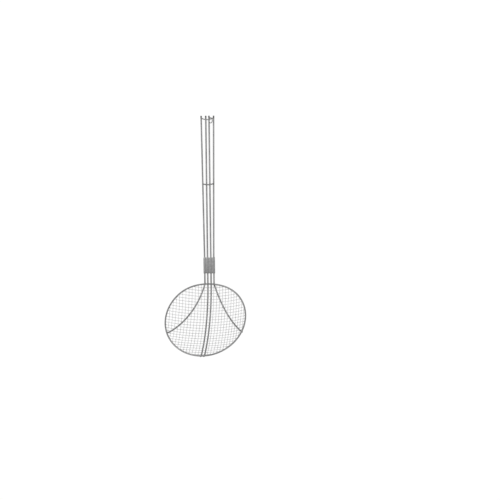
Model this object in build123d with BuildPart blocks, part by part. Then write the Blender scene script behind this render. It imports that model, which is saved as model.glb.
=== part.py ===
from build123d import *
import os
from math import asin, ceil, cos, degrees, floor, hypot, radians, sin, sqrt

# Spider skimmer of stainless wire, lying on its collar with the bowl rising away from the handle.
# +Y runs along the handle to its tips, +Z is up out of the bowl, and X is across.
# The origin is on the table, under the middle of the whole tool.

# Handle and bowl
handle_length = 320.5  # from the near side of the rim to the tips of the wires
handle_wire = 3.0
rim_radius = 78.5  # to the middle of the rim wire
rim_wire = 3.0
dish_angle = 27.0  # degrees: half the arc of the dish, and the tilt of the bowl off the handle
seat = 0.15  # clearance where one wire lies on another
wire_sides = 9  # flats round a wire

# Places of the four handle wires, measured across from the middle
inner_spacing = 3.2
outer_spacing = 9.0
tip_spacing = 12.3
neck_radius = 1000.0  # of the slight bend where an outer wire leaves the collar
splay_angle = 17.5  # degrees that an outer wire turns outward past the rim
splay_radius = 15.0
splay_from_rim = 5.0  # where that turn ends, under the mesh
rib_end_angle = 109.7  # degrees round the rim from the handle, where an outer wire ends
tip_rounding = 0.6

# Woven mesh
mesh_wire = 0.8
mesh_pitch = 6.0
mesh_lap = 0.3  # clearance between the two layers of mesh wire
hem_sheet = 0.5
hem_step = 1.1  # from the upper layer's hem out to the lower one's
hem_sides = 60

# Collar
collar_length = 30.7
collar_from_rim = 17.7
collar_sheet = 0.75
collar_play = 0.1
seam_gap = 0.4

# Cross wires of the handle
middle_spreader_wire = 2.5
middle_spreader_from_rim = 190.0
middle_spreader_sag = 2.0
end_spreader_wire = 2.0
end_spreader_from_tips = 4.0
end_spreader_sag = 3.5

# Hanging ring on the end cross wire
ring_radius = 5.1  # to the middle of its wire
ring_wire = 1.4
ring_lean = 66.0  # degrees between the ring and the plane of the handle
ring_across = 7.05
ring_below_tips = 9.0
ring_lift = 3.1  # from the middle of the handle wires up to the middle of the ring

# The dish is one sphere for each layer, all about one centre, straight above the near side of the rim
wire_height = collar_sheet + collar_play + handle_wire / 2
rim_sphere = rim_radius / sin(radians(dish_angle))
cross_sphere = rim_sphere + rim_wire / 2 + seat
long_sphere = cross_sphere + mesh_wire + mesh_lap
rib_sphere = long_sphere + mesh_wire + seat + handle_wire / 2
rib_end = asin(rim_radius / rib_sphere)  # radians off the dish's axis, under the middle of the rim wire
rib_sweep = radians(dish_angle) + rib_end
far_end = (rib_sphere + handle_wire / 2) * sin(rib_sweep)

rim_y = (far_end - handle_length) / 2
tip_y = rim_y + handle_length
collar_y = rim_y + collar_from_rim
dish_centre = Vector(0, rim_y, wire_height + rib_sphere)
dish_axis = Vector(0, -sin(radians(dish_angle)), -cos(radians(dish_angle)))
rim_plane = Plane(
    origin=dish_centre + dish_axis * (rim_sphere * cos(radians(dish_angle))),
    x_dir=(1, 0, 0),
    z_dir=-dish_axis,
)
toward_handle = rim_plane.y_dir
wire_plane = Plane.XY.offset(wire_height)
os.makedirs("parts", exist_ok=True)

# Rim: one round wire bent to a ring
with BuildPart() as rim_ring:
    with BuildSketch(Plane(origin=rim_plane.origin, x_dir=rim_plane.x_dir, z_dir=-toward_handle)):
        with Locations((rim_radius, 0)):
            RegularPolygon(rim_wire / 2, wire_sides)
    revolve(axis=Axis(rim_plane.origin, rim_plane.z_dir))
rim_ring.part.label = "rim_ring"
export_step(rim_ring.part, "parts/rim_ring.step")

# Mesh: two layers of wires on the dish, straight between every second crossing, each with its ends held in a hem
layers = (
    ("mesh_cross_wires", cross_sphere, toward_handle, rim_radius),
    ("mesh_long_wires", long_sphere, rim_plane.x_dir, rim_radius + hem_step),
)
for name, inside, side_by_side, hem_radius in layers:
    middle = inside + mesh_wire / 2
    mesh_turn = mesh_pitch / middle
    mesh_count = 2 * floor(asin((hem_radius - hem_sheet / 2) / middle) / mesh_turn)
    with BuildPart() as mesh:
        for place in range(mesh_count):
            turn = mesh_turn * (place - (mesh_count - 1) / 2)
            beside = middle * sin(turn)
            bow = middle * cos(turn)
            reach = asin(sqrt(hem_radius**2 - beside**2) / bow)
            runs = ceil(reach * bow / mesh_pitch)
            bends = [reach * (2 * bend / runs - 1) for bend in range(runs + 1)]
            below, above = bow + mesh_wire / 2, bow - mesh_wire / 2
            with BuildSketch(Plane(dish_centre + side_by_side * beside, x_dir=dish_axis, z_dir=side_by_side)):
                Polygon(
                    *[(below * cos(bend), below * sin(bend)) for bend in bends],
                    *[(above * cos(bend), above * sin(bend)) for bend in reversed(bends)],
                    align=None,
                )
        extrude(amount=mesh_wire / 2, both=True)
        hem_middle = dish_centre + dish_axis * sqrt(middle**2 - hem_radius**2)
        with BuildSketch(Plane(hem_middle, x_dir=rim_plane.x_dir, z_dir=dish_axis)):
            RegularPolygon(hem_radius + hem_sheet / 2, hem_sides)
            RegularPolygon(hem_radius - hem_sheet / 2, hem_sides, mode=Mode.SUBTRACT)
        extrude(amount=mesh_wire / 2, both=True)
    mesh.part.label = name
    export_step(mesh.part, f"parts/{name}.step")

# The two inner wires run straight down the handle and on under the mesh to the far side of the rim
for side, hand in ((-1, "left"), (1, "right")):
    across = side * inner_spacing
    with BuildPart() as inner_wire:
        with BuildLine(Plane(origin=(across, rim_y, wire_height), x_dir=(0, -1, 0), z_dir=(-1, 0, 0))) as path:
            Line((-handle_length, 0), (0, 0))
            CenterArc((0, rib_sphere), rib_sphere, -90, degrees(rib_sweep))
        with BuildSketch(Plane(origin=(across, tip_y, wire_height), z_dir=(0, -1, 0))):
            RegularPolygon(handle_wire / 2, wire_sides)
        sweep(path=path.wires()[0])
        chamfer(inner_wire.faces().sort_by(Axis.Y)[-1].edges(), tip_rounding)
    inner_wire.part.label = f"inner_wire_{hand}"
    export_step(inner_wire.part, f"parts/inner_wire_{hand}.step")

# The two outer wires close in from the tips to the collar, and part at the rim to the two sides of the bowl
splay = radians(splay_angle)
splay_x = outer_spacing + splay_radius * (1 - cos(splay))
parting_y = rim_y - splay_from_rim
splay_y = parting_y + splay_radius * sin(splay)
outer_sphere = hypot(rib_sphere, splay_x, splay_from_rim)
outer_end = asin(rim_radius / outer_sphere)
round_rim = radians(rib_end_angle)
collar_top_y = collar_y + collar_length
for side, hand in ((-1, "left"), (1, "right")):
    rim_end = (
        dish_centre
        + toward_handle * (outer_sphere * sin(outer_end) * cos(round_rim))
        + Vector(side, 0, 0) * (outer_sphere * sin(outer_end) * sin(round_rim))
        + dish_axis * (outer_sphere * cos(outer_end))
    )
    tip = Vector(side * tip_spacing, tip_y, wire_height)
    neck = Vector(side * outer_spacing, collar_top_y, wire_height)
    bend = Vector(side * outer_spacing, splay_y, wire_height)
    parting = Vector(side * splay_x, parting_y, wire_height)
    outward = Vector(side * sin(splay), -cos(splay), 0)
    with BuildPart() as outer_wire:
        with BuildLine() as path:
            FilletPolyline(tip, neck, bend, radius=neck_radius)
            TangentArc(bend, parting, tangent=(0, -1, 0))
            TangentArc(parting, rim_end, tangent=outward)
        with BuildSketch(Plane(origin=tip, z_dir=neck - tip)):
            RegularPolygon(handle_wire / 2, wire_sides)
        sweep(path=path.wires()[0])
        chamfer(outer_wire.faces().sort_by(Axis.Y)[-1].edges(), tip_rounding)
    outer_wire.part.label = f"outer_wire_{hand}"
    export_step(outer_wire.part, f"parts/outer_wire_{hand}.step")

# Collar: sheet folded flat round the four wires, with its seam on the underside
sleeve_width = 2 * outer_spacing + handle_wire + 2 * collar_play
sleeve_height = handle_wire + 2 * collar_play
with BuildPart() as collar:
    with BuildSketch(Plane(origin=(0, collar_y, wire_height), x_dir=(1, 0, 0), z_dir=(0, 1, 0))):
        SlotOverall(sleeve_width + 2 * collar_sheet, sleeve_height + 2 * collar_sheet)
        SlotOverall(sleeve_width, sleeve_height, mode=Mode.SUBTRACT)
        with Locations((0, sleeve_height / 2)):
            Rectangle(seam_gap, sleeve_height, mode=Mode.SUBTRACT)
    extrude(amount=collar_length)
collar.part.label = "collar"
export_step(collar.part, "parts/collar.step")

# Two cross wires are welded on top of the handle wires, each bowed a little toward the bowl
middle_y = rim_y + middle_spreader_from_rim
flare_share = (middle_y - collar_top_y) / (tip_y - collar_top_y)
middle_reach = outer_spacing + (tip_spacing - outer_spacing) * flare_share
end_y = tip_y - end_spreader_from_tips
spreaders = (
    ("middle_spreader", middle_spreader_wire, middle_y, middle_spreader_sag, middle_reach),
    ("end_spreader", end_spreader_wire, end_y, end_spreader_sag, tip_spacing),
)
for name, wire, y, sag, reach in spreaders:
    with BuildPart() as spreader:
        with BuildLine(wire_plane.offset(handle_wire / 2 + seat + wire / 2)) as path:
            bow = ThreePointArc((-reach, y), (0, y - sag), (reach, y))
        with BuildSketch(Plane(origin=bow @ 0, z_dir=bow % 0)):
            RegularPolygon(wire / 2, wire_sides)
        sweep(path=path.wires()[0])
    spreader.part.label = name
    export_step(spreader.part, f"parts/{name}.step")

# Hanging ring: a loose round ring, threaded on the end cross wire and leaning in the gap beside it
lean = radians(ring_lean)
ring_centre = Vector(ring_across, tip_y - ring_below_tips, wire_height + ring_lift)
with BuildPart() as hanging_ring:
    with BuildSketch(Plane(origin=ring_centre, x_dir=(cos(lean), 0, -sin(lean)), z_dir=(0, 1, 0))):
        with Locations((ring_radius, 0)):
            RegularPolygon(ring_wire / 2, wire_sides)
    revolve(axis=Axis(ring_centre, (sin(lean), 0, cos(lean))))
hanging_ring.part.label = "hanging_ring"
export_step(hanging_ring.part, "parts/hanging_ring.step")
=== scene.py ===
from math import asin, cos, hypot, pi, radians, sin, sqrt

import bmesh
import bpy
from mathutils import Matrix, Vector


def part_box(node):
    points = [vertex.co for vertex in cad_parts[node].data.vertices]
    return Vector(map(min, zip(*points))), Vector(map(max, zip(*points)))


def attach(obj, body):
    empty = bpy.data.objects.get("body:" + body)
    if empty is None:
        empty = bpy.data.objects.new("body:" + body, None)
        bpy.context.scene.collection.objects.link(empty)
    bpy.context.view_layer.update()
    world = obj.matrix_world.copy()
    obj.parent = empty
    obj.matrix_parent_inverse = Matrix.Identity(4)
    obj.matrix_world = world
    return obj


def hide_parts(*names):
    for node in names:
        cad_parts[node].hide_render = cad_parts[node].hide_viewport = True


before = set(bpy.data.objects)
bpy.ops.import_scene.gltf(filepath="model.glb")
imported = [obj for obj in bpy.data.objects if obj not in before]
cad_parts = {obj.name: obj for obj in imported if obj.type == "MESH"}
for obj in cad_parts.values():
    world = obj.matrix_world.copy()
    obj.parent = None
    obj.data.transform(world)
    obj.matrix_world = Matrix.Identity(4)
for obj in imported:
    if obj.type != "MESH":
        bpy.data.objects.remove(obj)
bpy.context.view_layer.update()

# Rim. One 3 mm stainless wire, rolled to a ring and butt-welded shut. It lies on the sphere of the dish,
# and is pressed about 2.5 mm flat where the handle passes under it.
mm = 0.001
wire = 3 * mm
rim_radius = 78.5 * mm
rim_steps = 240
dish_angle = radians(27)
dish_radius = rim_radius / sin(dish_angle)
across = Vector((1, 0, 0))
dish_axis = Vector((0, -sin(dish_angle), -cos(dish_angle)))
toward_handle = Vector((0, cos(dish_angle), -sin(dish_angle)))
rim_middle = (Vector(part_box("rim_ring")[0]) + Vector(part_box("rim_ring")[1])) / 2
dish_centre = rim_middle - dish_axis * dish_radius * cos(dish_angle)
flat_depth = 2.5 * mm
flat_middle = 12 * mm
flat_reach = 68 * mm
flat_fade = 1.5
same_place = 0.001 * mm
steel_grey = (0.235, 0.235, 0.235, 1)
drawn_look = {
    "line detail": 6,
    "line roughness": 0.6,
    "stain scale": 90,
    "stain detail": 3,
    "darkest at": 0.3,
    "lightest at": 0.7,
    "darkest": 0.82,
    "lightest": 1.14,
    "smoother": 0.07,
    "rougher": 0.1,
    "groove strength": 0.25,
    "groove depth": 0.03 * mm,
}


def on_dish(x, y, radius=dish_radius):
    """The place on the pressed dish that lies this far across and toward the handle."""
    off_middle = min(abs(x - flat_middle) / flat_reach, 1)
    y -= flat_depth * (1 - off_middle**2) ** flat_fade * (max(y, 0) / rim_radius) ** 2
    return dish_centre + across * x + toward_handle * y + dish_axis * sqrt(radius**2 - x * x - y * y)


def wire_curve(name, thickness, roundness=5):
    """A round wire, as a curve that is still without its runs."""
    curve = bpy.data.curves.new(name, "CURVE")
    curve.dimensions = "3D"
    curve.bevel_depth = thickness / 2
    curve.bevel_resolution = roundness
    curve.use_fill_caps = True
    return curve


def lay_wire(curve, places, closed=False):
    """Lays one more run of the wire through these places."""
    run = curve.splines.new("POLY")
    run.points.add(len(places) - 1)
    run.points.foreach_set("co", [value for place in places for value in (*place, 1)])
    run.use_cyclic_u = closed
    run.use_smooth = True


def cut_wire(curve, finish, node, rounding=0.0, body="skimmer"):
    """Makes the wire a mesh in its place, with the edges of its cut ends rounded."""
    bent = bpy.data.objects.new(curve.name, curve)
    bpy.context.scene.collection.objects.link(bent)
    mesh = bpy.data.meshes.new_from_object(bent)
    bpy.data.objects.remove(bent)
    mesh.name = curve.name
    if rounding:
        shape = bmesh.new()
        shape.from_mesh(mesh)
        bmesh.ops.remove_doubles(shape, verts=shape.verts, dist=same_place)
        # Only the cut ends are faces with more than four corners.
        cut_edges = {edge for face in shape.faces if len(face.verts) > 4 for edge in face.edges}
        bmesh.ops.bevel(
            shape,
            geom=list(cut_edges),
            offset=rounding,
            segments=3,
            profile=0.5,
            affect="EDGES",
            material=-1,
        )
        shape.to_mesh(mesh)
        shape.free()
    mesh.materials.clear()
    mesh.materials.append(finish)
    piece = bpy.data.objects.new(curve.name, mesh)
    bpy.context.scene.collection.objects.link(piece)
    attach(piece, body)
    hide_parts(node)


def satin_steel(name, colour, roughness, read_from, streaks, look):
    """Satin steel with fine lines, as dense along each axis as streaks says, and soft stains."""
    steel = bpy.data.materials.new(name)
    steel.use_nodes = True
    nodes, links = steel.node_tree.nodes, steel.node_tree.links
    surface = nodes["Principled BSDF"]
    surface.inputs["Metallic"].default_value = 1
    place = nodes.new("ShaderNodeTexCoord")
    stretch = nodes.new("ShaderNodeMapping")
    stretch.inputs["Scale"].default_value = streaks
    lines = nodes.new("ShaderNodeTexNoise")
    lines.inputs["Scale"].default_value = 1
    lines.inputs["Detail"].default_value = look["line detail"]
    lines.inputs["Roughness"].default_value = look["line roughness"]
    links.new(place.outputs[read_from], stretch.inputs["Vector"])
    links.new(stretch.outputs["Vector"], lines.inputs["Vector"])
    stains = nodes.new("ShaderNodeTexNoise")
    stains.inputs["Scale"].default_value = look["stain scale"]
    stains.inputs["Detail"].default_value = look["stain detail"]
    links.new(place.outputs["Object"], stains.inputs["Vector"])
    shades = nodes.new("ShaderNodeValToRGB")
    dark, light = shades.color_ramp.elements
    dark.position = look["darkest at"]
    dark.color = tuple(look["darkest"] * c for c in colour[:3]) + (1,)
    light.position = look["lightest at"]
    light.color = tuple(look["lightest"] * c for c in colour[:3]) + (1,)
    links.new(stains.outputs["Fac"], shades.inputs["Fac"])
    links.new(shades.outputs["Color"], surface.inputs["Base Color"])
    sheen = nodes.new("ShaderNodeMapRange")
    sheen.inputs["To Min"].default_value = roughness - look["smoother"]
    sheen.inputs["To Max"].default_value = roughness + look["rougher"]
    links.new(lines.outputs["Fac"], sheen.inputs["Value"])
    links.new(sheen.outputs["Result"], surface.inputs["Roughness"])
    grooves = nodes.new("ShaderNodeBump")
    grooves.inputs["Strength"].default_value = look["groove strength"]
    grooves.inputs["Distance"].default_value = look["groove depth"]
    links.new(lines.outputs["Fac"], grooves.inputs["Height"])
    links.new(grooves.outputs["Normal"], surface.inputs["Normal"])
    return steel


def drawn_steel(name, colour, roughness, streaks_along, streaks_around):
    """Drawn wire, with fine die lines along it, read from the wire's own UV map."""
    return satin_steel(name, colour, roughness, "UV", (streaks_along, streaks_around, 1), drawn_look)


rim_steel = drawn_steel("rim_steel", steel_grey, roughness=0.3, streaks_along=60, streaks_around=24)
rim_places = []
for step in range(rim_steps):
    turn = 2 * pi * step / rim_steps
    rim_places.append(on_dish(rim_radius * sin(turn), rim_radius * cos(turn)))
rim_curve = wire_curve("rim", wire)
lay_wire(rim_curve, rim_places, closed=True)
cut_wire(rim_curve, rim_steel, "rim_ring")

# Mesh. Thin bright stainless wires, crimped and woven over and under at 6 mm, and pressed to the dish.
# Their cut ends turn up into the underside of the rim, and are welded there.
mesh_wire = 0.72 * mm
mesh_wires = 26
mesh_pitch = 6 * mm
mesh_below_rim = 1.1 * mm
mesh_middle = dish_radius + wire / 2 + mesh_below_rim
mesh_turn = mesh_pitch / mesh_middle
crimp = 0.4 * mm
crimp_stations = 4
crimp_fade = 2 * mm
end_bite = 0.4 * mm
under_rim = wire / 2 - end_bite
hook_stations = (-2.6, -2.1, -1.6, -1.2, -0.8)  # mm along the dish, inward from the middle of the rim wire
hook_start = hook_stations[0] * mm
hook_limit = 0.9 * under_rim
mesh_grey = (0.42, 0.42, 0.42, 1)
mesh_steel = drawn_steel("mesh_steel", mesh_grey, roughness=0.34, streaks_along=40, streaks_around=8)


def mesh_end(beside, polar):
    """The turn along a mesh wire at which it is this far off the dish's axis."""
    return asin(sqrt(max(sin(polar) ** 2 - sin(beside) ** 2, 0)))


def weave(name, node, side_by_side, over):
    """One set of the woven wires, each laid from the dish's middle out to its two ends."""
    curve = wire_curve(name, mesh_wire, roundness=1)
    middle_number = (mesh_wires - 1) / 2
    for number in range(mesh_wires):
        beside = mesh_turn * (number - middle_number)
        places = []
        for end in (-1, 1):
            # The crimped run stops at least half a step short of the hook that turns up to the rim.
            hook = [mesh_end(beside, dish_angle + station * mm / dish_radius) for station in hook_stations]
            first, last = (0 if end == 1 else 1), int(crimp_stations * hook[0] / mesh_turn - 0.5)
            half = []
            for turn in [mesh_turn / crimp_stations * step for step in range(first, last + 1)] + hook:
                from_rim = dish_radius * (asin(hypot(sin(beside), sin(turn))) - dish_angle)
                crossing = (-1) ** number * cos(pi * (end * turn / mesh_turn + middle_number))
                fade = min(max((-crimp_fade - from_rim) / crimp_fade, 0), 1)
                height = mesh_middle + over * crimp * crossing * fade
                if from_rim > hook_start:
                    settle = 1 - from_rim / hook_start
                    under = dish_radius + sqrt(under_rim**2 - min(-from_rim, hook_limit) ** 2)
                    height += (under - mesh_middle) * settle * settle * (3 - 2 * settle)
                spread = [height * sin(beside), height * end * sin(turn)]
                half.append(on_dish(*(spread if side_by_side == across else spread[::-1]), height))
            places += half if end == 1 else half[::-1]
        lay_wire(curve, places)
    cut_wire(curve, mesh_steel, node)


weave("mesh_cross", "mesh_cross_wires", toward_handle, -1)
weave("mesh_long", "mesh_long_wires", across, 1)

# Inner handle wires. Two 3 mm stainless wires that run side by side from the tips, straight through the
# collar and on under the mesh as ribs. At the far side their ends bend up to the rim, and are welded to it.
tip_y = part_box("inner_wire_left")[1][1]
tip_run = 3 * mm
tip_rounding = 0.6 * mm
wire_height = 2.35 * mm
inner_spacing = 3.2 * mm
rim_y = dish_centre.y
rib_radius = dish_centre.z - wire_height
rib_short = 1.9 * mm
rib_rise = 9 * mm
rib_lift = 2.5 * mm
rib_curl = 3
rib_polar = dish_angle - rib_short / dish_radius
rib_turn = dish_angle + rib_polar
rib_steps = 72
rib_ends = []
# The handle steel is darker toward the tips: full colour up to 6.5 mm from them, fading to 0.4 of it at 2.5
# mm from them and staying at 0.4 to the tips.
tip_darkening_start = tip_y - 6.5 * mm
tip_darkening_end = tip_y - 2.5 * mm
tip_darkening_share = 0.4


def shade_along(steel, start, end, first, last):
    """Shades a finish along the skimmer, from one share of its colour at start to another at end."""
    nodes, links = steel.node_tree.nodes, steel.node_tree.links
    colour = nodes["Principled BSDF"].inputs["Base Color"]
    plain = colour.links[0].from_socket
    place = nodes.new("ShaderNodeTexCoord")
    split = nodes.new("ShaderNodeSeparateXYZ")
    links.new(place.outputs["Object"], split.inputs["Vector"])
    along = nodes.new("ShaderNodeMapRange")
    along.inputs["From Min"].default_value = start
    along.inputs["From Max"].default_value = end
    along.inputs["To Min"].default_value = first
    along.inputs["To Max"].default_value = last
    links.new(split.outputs["Y"], along.inputs["Value"])
    shaded = nodes.new("ShaderNodeVectorMath")
    shaded.operation = "SCALE"
    links.new(plain, shaded.inputs["Vector"])
    links.new(along.outputs["Result"], shaded.inputs["Scale"])
    links.new(shaded.outputs["Vector"], colour)


def raise_end(places):
    """Bends the end of a rib up to the rim, toward the middle of the dish's sphere."""
    end = places[-1]
    for number, place in enumerate(places):
        share = max(1 - (place - end).length / rib_rise, 0)
        places[number] = place + (dish_centre - place).normalized() * rib_lift * share**rib_curl
    return places


handle_steel = drawn_steel("handle_steel", steel_grey, roughness=0.3, streaks_along=70, streaks_around=24)
# Darker toward the tips.
shade_along(handle_steel, tip_darkening_start, tip_darkening_end, 1.0, tip_darkening_share)
for side, hand in ((-1, "left"), (1, "right")):
    x = side * inner_spacing
    places = [Vector((x, tip_y, wire_height)), Vector((x, tip_y - tip_run, wire_height))]
    for step in range(rib_steps + 1):
        turn = rib_turn * step / rib_steps
        places.append(Vector((x, rim_y - rib_radius * sin(turn), dish_centre.z - rib_radius * cos(turn))))
    inner_curve = wire_curve(f"inner_wire_{hand}_bent", wire)
    lay_wire(inner_curve, raise_end(places))
    cut_wire(inner_curve, handle_steel, f"inner_wire_{hand}", tip_rounding)
    rib_ends.append(places[-1])

# Outer handle wires. The same wire, closing in a little from the tips to the collar. Past the rim they
# part, and curve under the mesh as ribs to the sides of the rim, where their ends bend up and are welded.
outer_spacing = 9 * mm
tip_spacing = 12.3 * mm
collar_from_rim = 17.7 * mm
collar_length = 30.7 * mm
collar_y = rim_y + collar_from_rim
collar_top = collar_y + collar_length
neck_bend = 9 * mm
splay = radians(17.5)
splay_radius = 15 * mm
splay_x = outer_spacing + splay_radius * (1 - cos(splay))
parting_from_rim = 5 * mm
parting_y = rim_y - parting_from_rim
outer_sphere = sqrt(rib_radius**2 + splay_x**2 + parting_from_rim**2)
round_rim = radians(109.7)
neck_steps = 4
splay_steps = 8
outer_rib_steps = 60
rib_weld_size = 1.55 * mm
weld_share = 0.44
weld_ripple = 0.12
ripples_across, ripples_along = 5, 4
weld_spread = (1.2, 1, 0.85)
weld_grey = (0.16, 0.155, 0.15, 1)
rolling_lines = (2600, 120, 2600)
rolled_look = {
    "line detail": 4,
    "line roughness": 0.5,
    "stain scale": 260,
    "stain detail": 5,
    "darkest at": 0.3,
    "lightest at": 0.75,
    "darkest": 0.86,
    "lightest": 1.12,
    "smoother": 0.08,
    "rougher": 0.1,
    "groove strength": 0.3,
    "groove depth": 0.02 * mm,
}


def rolled_steel(name, colour, roughness):
    """Rolled sheet, with faint rolling lines along the skimmer and soft handling marks."""
    return satin_steel(name, colour, roughness, "Object", rolling_lines, rolled_look)


def weld(name, places, size):
    """Small puddles of weld metal at these places."""
    puddles = bmesh.new()
    for number, place in enumerate(places):
        lump = bmesh.ops.create_icosphere(puddles, subdivisions=2, radius=size)["verts"]
        for vert in lump:
            wave_across = sin(vert.co.x / size * ripples_across + number)
            wave_along = sin(vert.co.y / size * ripples_along + 2 * number)
            vert.co *= 1 + weld_ripple * (wave_across * wave_along)
        bmesh.ops.scale(puddles, verts=lump, vec=weld_spread)
        bmesh.ops.translate(puddles, verts=lump, vec=place)
    mesh = bpy.data.meshes.new(name)
    puddles.to_mesh(mesh)
    puddles.free()
    for face in mesh.polygons:
        face.use_smooth = True
    mesh.materials.append(weld_steel)
    piece = bpy.data.objects.new(name, mesh)
    bpy.context.scene.collection.objects.link(piece)
    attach(piece, "skimmer")


def arc(start, tangent, end, steps):
    """Places along the arc that leaves start in this direction and reaches end."""
    chord = end - start
    half = tangent.angle(chord)
    radius = chord.length / (2 * sin(half))
    inward = (chord - tangent * chord.dot(tangent)).normalized()
    turns = [2 * half * step / steps for step in range(1, steps + 1)]
    return [start + tangent * radius * sin(turn) + inward * radius * (1 - cos(turn)) for turn in turns]


for side, hand in ((-1, "left"), (1, "right")):
    tip = Vector((side * tip_spacing, tip_y, wire_height))
    neck = Vector((side * outer_spacing, collar_top, wire_height))
    bend = Vector((side * outer_spacing, parting_y + splay_radius * sin(splay), wire_height))
    parting = Vector((side * splay_x, parting_y, wire_height))
    rim_end = (
        dish_centre
        + toward_handle * outer_sphere * sin(rib_polar) * cos(round_rim)
        + across * side * outer_sphere * sin(rib_polar) * sin(round_rim)
        + dish_axis * outer_sphere * cos(rib_polar)
    )
    down_from_tip = (neck - tip).normalized()
    before, after = neck - down_from_tip * neck_bend, neck - Vector((0, neck_bend, 0))
    places = [tip, tip + down_from_tip * tip_run, before]
    places += arc(before, down_from_tip, after, neck_steps)
    places += [bend] + arc(bend, Vector((0, -1, 0)), parting, splay_steps)
    places += arc(parting, Vector((side * sin(splay), -cos(splay), 0)), rim_end, outer_rib_steps)
    outer_curve = wire_curve(f"outer_wire_{hand}_bent", wire)
    lay_wire(outer_curve, raise_end(places))
    cut_wire(outer_curve, handle_steel, f"outer_wire_{hand}", tip_rounding)
    rib_ends.append(places[-1])
weld_steel = rolled_steel("weld_steel", weld_grey, roughness=0.5)
rib_welds = []
for rib_end in rib_ends:
    from_centre = rib_end - dish_centre
    across_end, toward_end = from_centre.dot(across), from_centre.dot(toward_handle)
    outward = rim_radius / hypot(across_end, toward_end)
    rim_place = on_dish(across_end * outward, toward_end * outward)
    rib_welds.append(rib_end.lerp(rim_place, weld_share))
weld("rib_welds", rib_welds, rib_weld_size)

# Collar. A strip of 0.75 mm stainless sheet, folded flat round the four wires and crimped on them, its two
# edges meeting along the underside. It holds the wires together just above the rim.
sheet = 0.75 * mm
collar_play = 0.1 * mm
sleeve_half_height = wire / 2 + collar_play + sheet / 2
sleeve_half_flat = outer_spacing
seam_half_gap = 0.2 * mm
underside_parts = 10
top_parts = 24
fold_steps = 12
collar_steps = 16
wire_step = 6.1 * mm
crimped_half_width = 7.6 * mm
crimp_depth = 0.16 * mm
underside_crimp = 0.4
edge_rounding = 0.18 * mm
edge_angle = radians(50)
collar_grey = (0.245, 0.245, 0.245, 1)
# Painted shade: the collar's colour runs from 0.9 of it at the end by the bowl to 1.12 of it at the end by
# the tips.
collar_painted_shade = (0.9, 1.12)
# Painted shade along the collar's edge by the bowl: 0.72 of its colour up to 0.5 mm in from that edge, back
# to full colour at 2 mm in.
bowl_edge_shade_start = collar_y + 0.5 * mm
bowl_edge_shade_end = collar_y + 2 * mm
bowl_edge_painted_shade = (0.72, 1.0)
folded = bmesh.new()
seam_place = (seam_half_gap, collar_y, wire_height - sleeve_half_height)
corner = bmesh.ops.create_vert(folded, co=seam_place)["vert"][0]


def fold_on(start, x, z, parts):
    """Runs the sheet on, flat, from start to this place across and up."""
    for part in range(parts):
        moved = bmesh.ops.extrude_vert_indiv(folded, verts=[start])["verts"][0]
        rest = Vector((x, collar_y, z)) - start.co
        moved.co = start.co + rest / (parts - part)
        start = moved
    return start


def fold_round(start, x):
    """Folds the sheet half a turn round the outer wire at this place."""
    spun = bmesh.ops.spin(
        folded,
        geom=[start],
        cent=(x, collar_y, wire_height),
        axis=(0, -1, 0),
        dvec=(0, 0, 0),
        angle=pi,
        steps=fold_steps,
        use_duplicate=False,
    )
    return [part for part in spun["geom_last"] if isinstance(part, bmesh.types.BMVert)][0]


corner = fold_on(corner, sleeve_half_flat, wire_height - sleeve_half_height, underside_parts)
corner = fold_round(corner, sleeve_half_flat)
corner = fold_on(corner, -sleeve_half_flat, wire_height + sleeve_half_height, top_parts)
corner = fold_round(corner, -sleeve_half_flat)
fold_on(corner, -seam_half_gap, wire_height - sleeve_half_height, underside_parts)
bmesh.ops.spin(
    folded,
    geom=folded.verts[:] + folded.edges[:],
    cent=(0, 0, 0),
    axis=(0, 1, 0),
    dvec=(0, (collar_top - collar_y) / collar_steps, 0),
    angle=0,
    steps=collar_steps,
    use_duplicate=False,
)
for vert in folded.verts:
    if abs(vert.co.x) < crimped_half_width:
        between = 0.5 + 0.5 * cos(2 * pi * vert.co.x / wire_step)
        vert.co.z -= crimp_depth * between * (1 if vert.co.z > wire_height else -underside_crimp)
bmesh.ops.recalc_face_normals(folded, faces=folded.faces)
collar_mesh = bpy.data.meshes.new("collar_folded")
folded.to_mesh(collar_mesh)
folded.free()
for face in collar_mesh.polygons:
    face.use_smooth = True
collar_steel = rolled_steel("collar_steel", collar_grey, roughness=0.34)
# Painted shade, darker toward the collar's end by the bowl.
shade_along(collar_steel, collar_y, collar_top, *collar_painted_shade)
# Painted shade, a dark band along the collar's edge by the bowl.
shade_along(collar_steel, bowl_edge_shade_start, bowl_edge_shade_end, *bowl_edge_painted_shade)
collar_mesh.materials.append(collar_steel)
collar = bpy.data.objects.new("collar_folded", collar_mesh)
bpy.context.scene.collection.objects.link(collar)
thickness = collar.modifiers.new("sheet", "SOLIDIFY")
thickness.thickness = sheet
thickness.offset = 0
edges = collar.modifiers.new("edges", "BEVEL")
edges.width = edge_rounding
edges.segments = 2
edges.limit_method = "ANGLE"
edges.angle_limit = edge_angle
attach(collar, "skimmer")
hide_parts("collar")

# Middle spreader. A 2.5 mm cross wire, resistance-welded on top of the handle wires half way up, to keep
# them apart. It bows a little toward the bowl, and its two ends are cut off over the outer wires.
middle_wire = 2.5 * mm
middle_sag = 2 * mm
middle_from_rim = 190 * mm
middle_y = rim_y + middle_from_rim
flare_share = (middle_y - collar_top) / (tip_y - collar_top)
middle_reach = outer_spacing + (tip_spacing - outer_spacing) * flare_share
middle_weld_size = 1.0 * mm
seat = 0.15 * mm
bow_steps = 32
spreader_rounding = 0.3 * mm
weld_height = wire_height + wire / 2
weld_inset = 0.98


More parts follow.
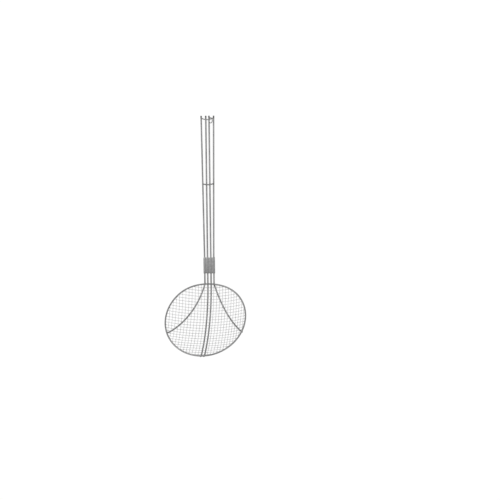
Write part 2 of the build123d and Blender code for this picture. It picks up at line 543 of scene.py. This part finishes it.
def spreader(name, node, thickness, reach, y, sag):
    """A bowed cross wire, on top of the handle wires."""
    height = weld_height + seat + thickness / 2
    radius = (reach**2 + sag**2) / (2 * sag)
    half = asin(reach / radius)
    places = []
    for step in range(bow_steps + 1):
        turn = half * (2 * step / bow_steps - 1)
        places.append(Vector((radius * sin(turn), y - sag + radius * (1 - cos(turn)), height)))
    curve = wire_curve(name, thickness, roundness=4)
    lay_wire(curve, places)
    cut_wire(curve, handle_steel, node, spreader_rounding)


def weld_spreader(name, reach, y, sag, size):
    """The welds that join a cross wire to the four handle wires under it."""
    places = []
    for x in (-reach, -inner_spacing, inner_spacing, reach):
        drop = sag * (1 - (x / reach) ** 2)
        places.append(Vector((x * weld_inset, y - drop, weld_height)))
    weld(name, places, size)


spreader("middle_spreader_bowed", "middle_spreader", middle_wire, middle_reach, middle_y, middle_sag)
weld_spreader("middle_welds", middle_reach, middle_y, middle_sag, middle_weld_size)

# End spreader. A 2 mm cross wire, welded on top of the handle wires just below their tips and bowed
# toward the bowl. The hanging ring hangs on it.
end_wire = 2 * mm
end_sag = 3.5 * mm
end_below_tips = 4 * mm
end_y = tip_y - end_below_tips
end_weld_size = 0.9 * mm
spreader("end_spreader_bowed", "end_spreader", end_wire, tip_spacing, end_y, end_sag)
weld_spreader("end_welds", tip_spacing, end_y, end_sag, end_weld_size)

# Hanging ring. A loose ring of 1.4 mm stainless wire, bent round the end spreader between an inner and an
# outer wire, with its two ends butted. It swings on the spreader, and leans in the gap beside it.
ring_wire = 1.4 * mm
ring_radius = 5.1 * mm
ring_lean = radians(66)
ring_x = 7.05 * mm
ring_below_tips = 9 * mm
ring_lift = 3.1 * mm
ring_steps = 96
ring_start = radians(-96)
ring_gap = radians(2)
ring_rounding = 0.15 * mm
ring_middle = Vector((ring_x, tip_y - ring_below_tips, wire_height + ring_lift))
ring_across = Vector((cos(ring_lean), 0, -sin(ring_lean)))
ring_up = Vector((0, 1, 0))
ring_places = []
for step in range(ring_steps + 1):
    turn = ring_start + (2 * pi - ring_gap) * step / ring_steps
    ring_places.append(ring_middle + ring_radius * (ring_across * cos(turn) + ring_up * sin(turn)))
ring_curve = wire_curve("ring_bent", ring_wire, roundness=4)
lay_wire(ring_curve, ring_places)
cut_wire(ring_curve, handle_steel, "hanging_ring", ring_rounding, "ring")

# Floor, light and camera. A pure white table and surroundings, as in a light tent, two large soft lamps,
# and the camera nearly straight above the skimmer, from a little to its right.
table_half = 6
table_drop = 0.1 * mm
table_white = (0.9, 0.9, 0.9, 1)
table_roughness = 0.9
tent_white = (1, 1, 1, 1)
glow_strength = 1.07
glow_share = 0.88
tent_light = 0.6
tent_seen = 1.0


def seen_ray(nodes, links):
    """Is 1 for what the camera sees, straight or by way of metal or glass, and 0 for what only lights."""
    seen = nodes.new("ShaderNodeLightPath")
    direct = nodes.new("ShaderNodeMath")
    direct.operation = "MAXIMUM"
    links.new(seen.outputs["Is Camera Ray"], direct.inputs[0])
    links.new(seen.outputs["Is Glossy Ray"], direct.inputs[1])
    through = nodes.new("ShaderNodeMath")
    through.operation = "MAXIMUM"
    links.new(direct.outputs[0], through.inputs[0])
    links.new(seen.outputs["Is Transmission Ray"], through.inputs[1])
    return through.outputs[0]


white = bpy.data.materials.new("white_table")
white.use_nodes = True
nodes, links = white.node_tree.nodes, white.node_tree.links
paint = nodes["Principled BSDF"]
paint.inputs["Base Color"].default_value = table_white
paint.inputs["Roughness"].default_value = table_roughness
glow = nodes.new("ShaderNodeEmission")
glow.inputs["Strength"].default_value = glow_strength
share = nodes.new("ShaderNodeMath")
share.operation = "MULTIPLY"
share.inputs[1].default_value = glow_share
links.new(seen_ray(nodes, links), share.inputs[0])
blend = nodes.new("ShaderNodeMixShader")
links.new(share.outputs[0], blend.inputs["Fac"])
links.new(paint.outputs["BSDF"], blend.inputs[1])
links.new(glow.outputs["Emission"], blend.inputs[2])
links.new(blend.outputs["Shader"], nodes["Material Output"].inputs["Surface"])
table = bmesh.new()
bmesh.ops.create_grid(table, x_segments=1, y_segments=1, size=table_half)
table_mesh = bpy.data.meshes.new("table")
table.to_mesh(table_mesh)
table.free()
table_mesh.materials.append(white)
table_top = bpy.data.objects.new("table", table_mesh)
table_top.location.z = -table_drop
bpy.context.scene.collection.objects.link(table_top)

world = bpy.data.worlds.new("tent")
bpy.context.scene.world = world
world.use_nodes = True
nodes, links = world.node_tree.nodes, world.node_tree.links
dim = nodes["Background"]
dim.inputs["Color"].default_value = tent_white
dim.inputs["Strength"].default_value = tent_light
bright = nodes.new("ShaderNodeBackground")
bright.inputs["Color"].default_value = tent_white
bright.inputs["Strength"].default_value = tent_seen
blend = nodes.new("ShaderNodeMixShader")
links.new(seen_ray(nodes, links), blend.inputs["Fac"])
links.new(dim.outputs["Background"], blend.inputs[1])
links.new(bright.outputs["Background"], blend.inputs[2])
links.new(blend.outputs["Shader"], nodes["World Output"].inputs["Surface"])

for name, place, power, size in (
    ("key_lamp", (-0.9, 0.5, 1.3), 6.0, 0.9),
    ("fill_lamp", (1.1, -0.6, 1.1), 3.0, 0.9),
):
    lamp = bpy.data.lights.new(name, "AREA")
    lamp.energy = power
    lamp.size = size
    lamp_object = bpy.data.objects.new(name, lamp)
    lamp_object.location = place
    lamp_object.rotation_euler = (Vector((0, 0, 0)) - Vector(place)).to_track_quat("-Z", "Y").to_euler()
    bpy.context.scene.collection.objects.link(lamp_object)

view_right = Vector((0.977, -0.013, -0.213)).normalized()
photo_up = Vector((0.012, 1.0, -0.005))
view_back = view_right.cross(photo_up).normalized()
view_up = view_back.cross(view_right)
right_of_rim, above_rim = 85.6, 132.7  # mm in the picture, from the middle of the rim to the picture's
view_middle = rim_middle + view_right * right_of_rim * mm + view_up * above_rim * mm
camera_distance = 30.0
picture_width = 0.959
camera_data = bpy.data.cameras.new("camera")
camera_data.lens = camera_data.sensor_width * camera_distance / picture_width
camera_data.clip_end = 100
camera = bpy.data.objects.new("camera", camera_data)
turned = Matrix((view_right, view_up, view_back)).transposed().to_4x4()
camera.matrix_world = Matrix.Translation(view_middle + view_back * camera_distance) @ turned
bpy.context.scene.collection.objects.link(camera)
bpy.context.scene.camera = camera
bpy.context.scene.view_settings.view_transform = "Standard"
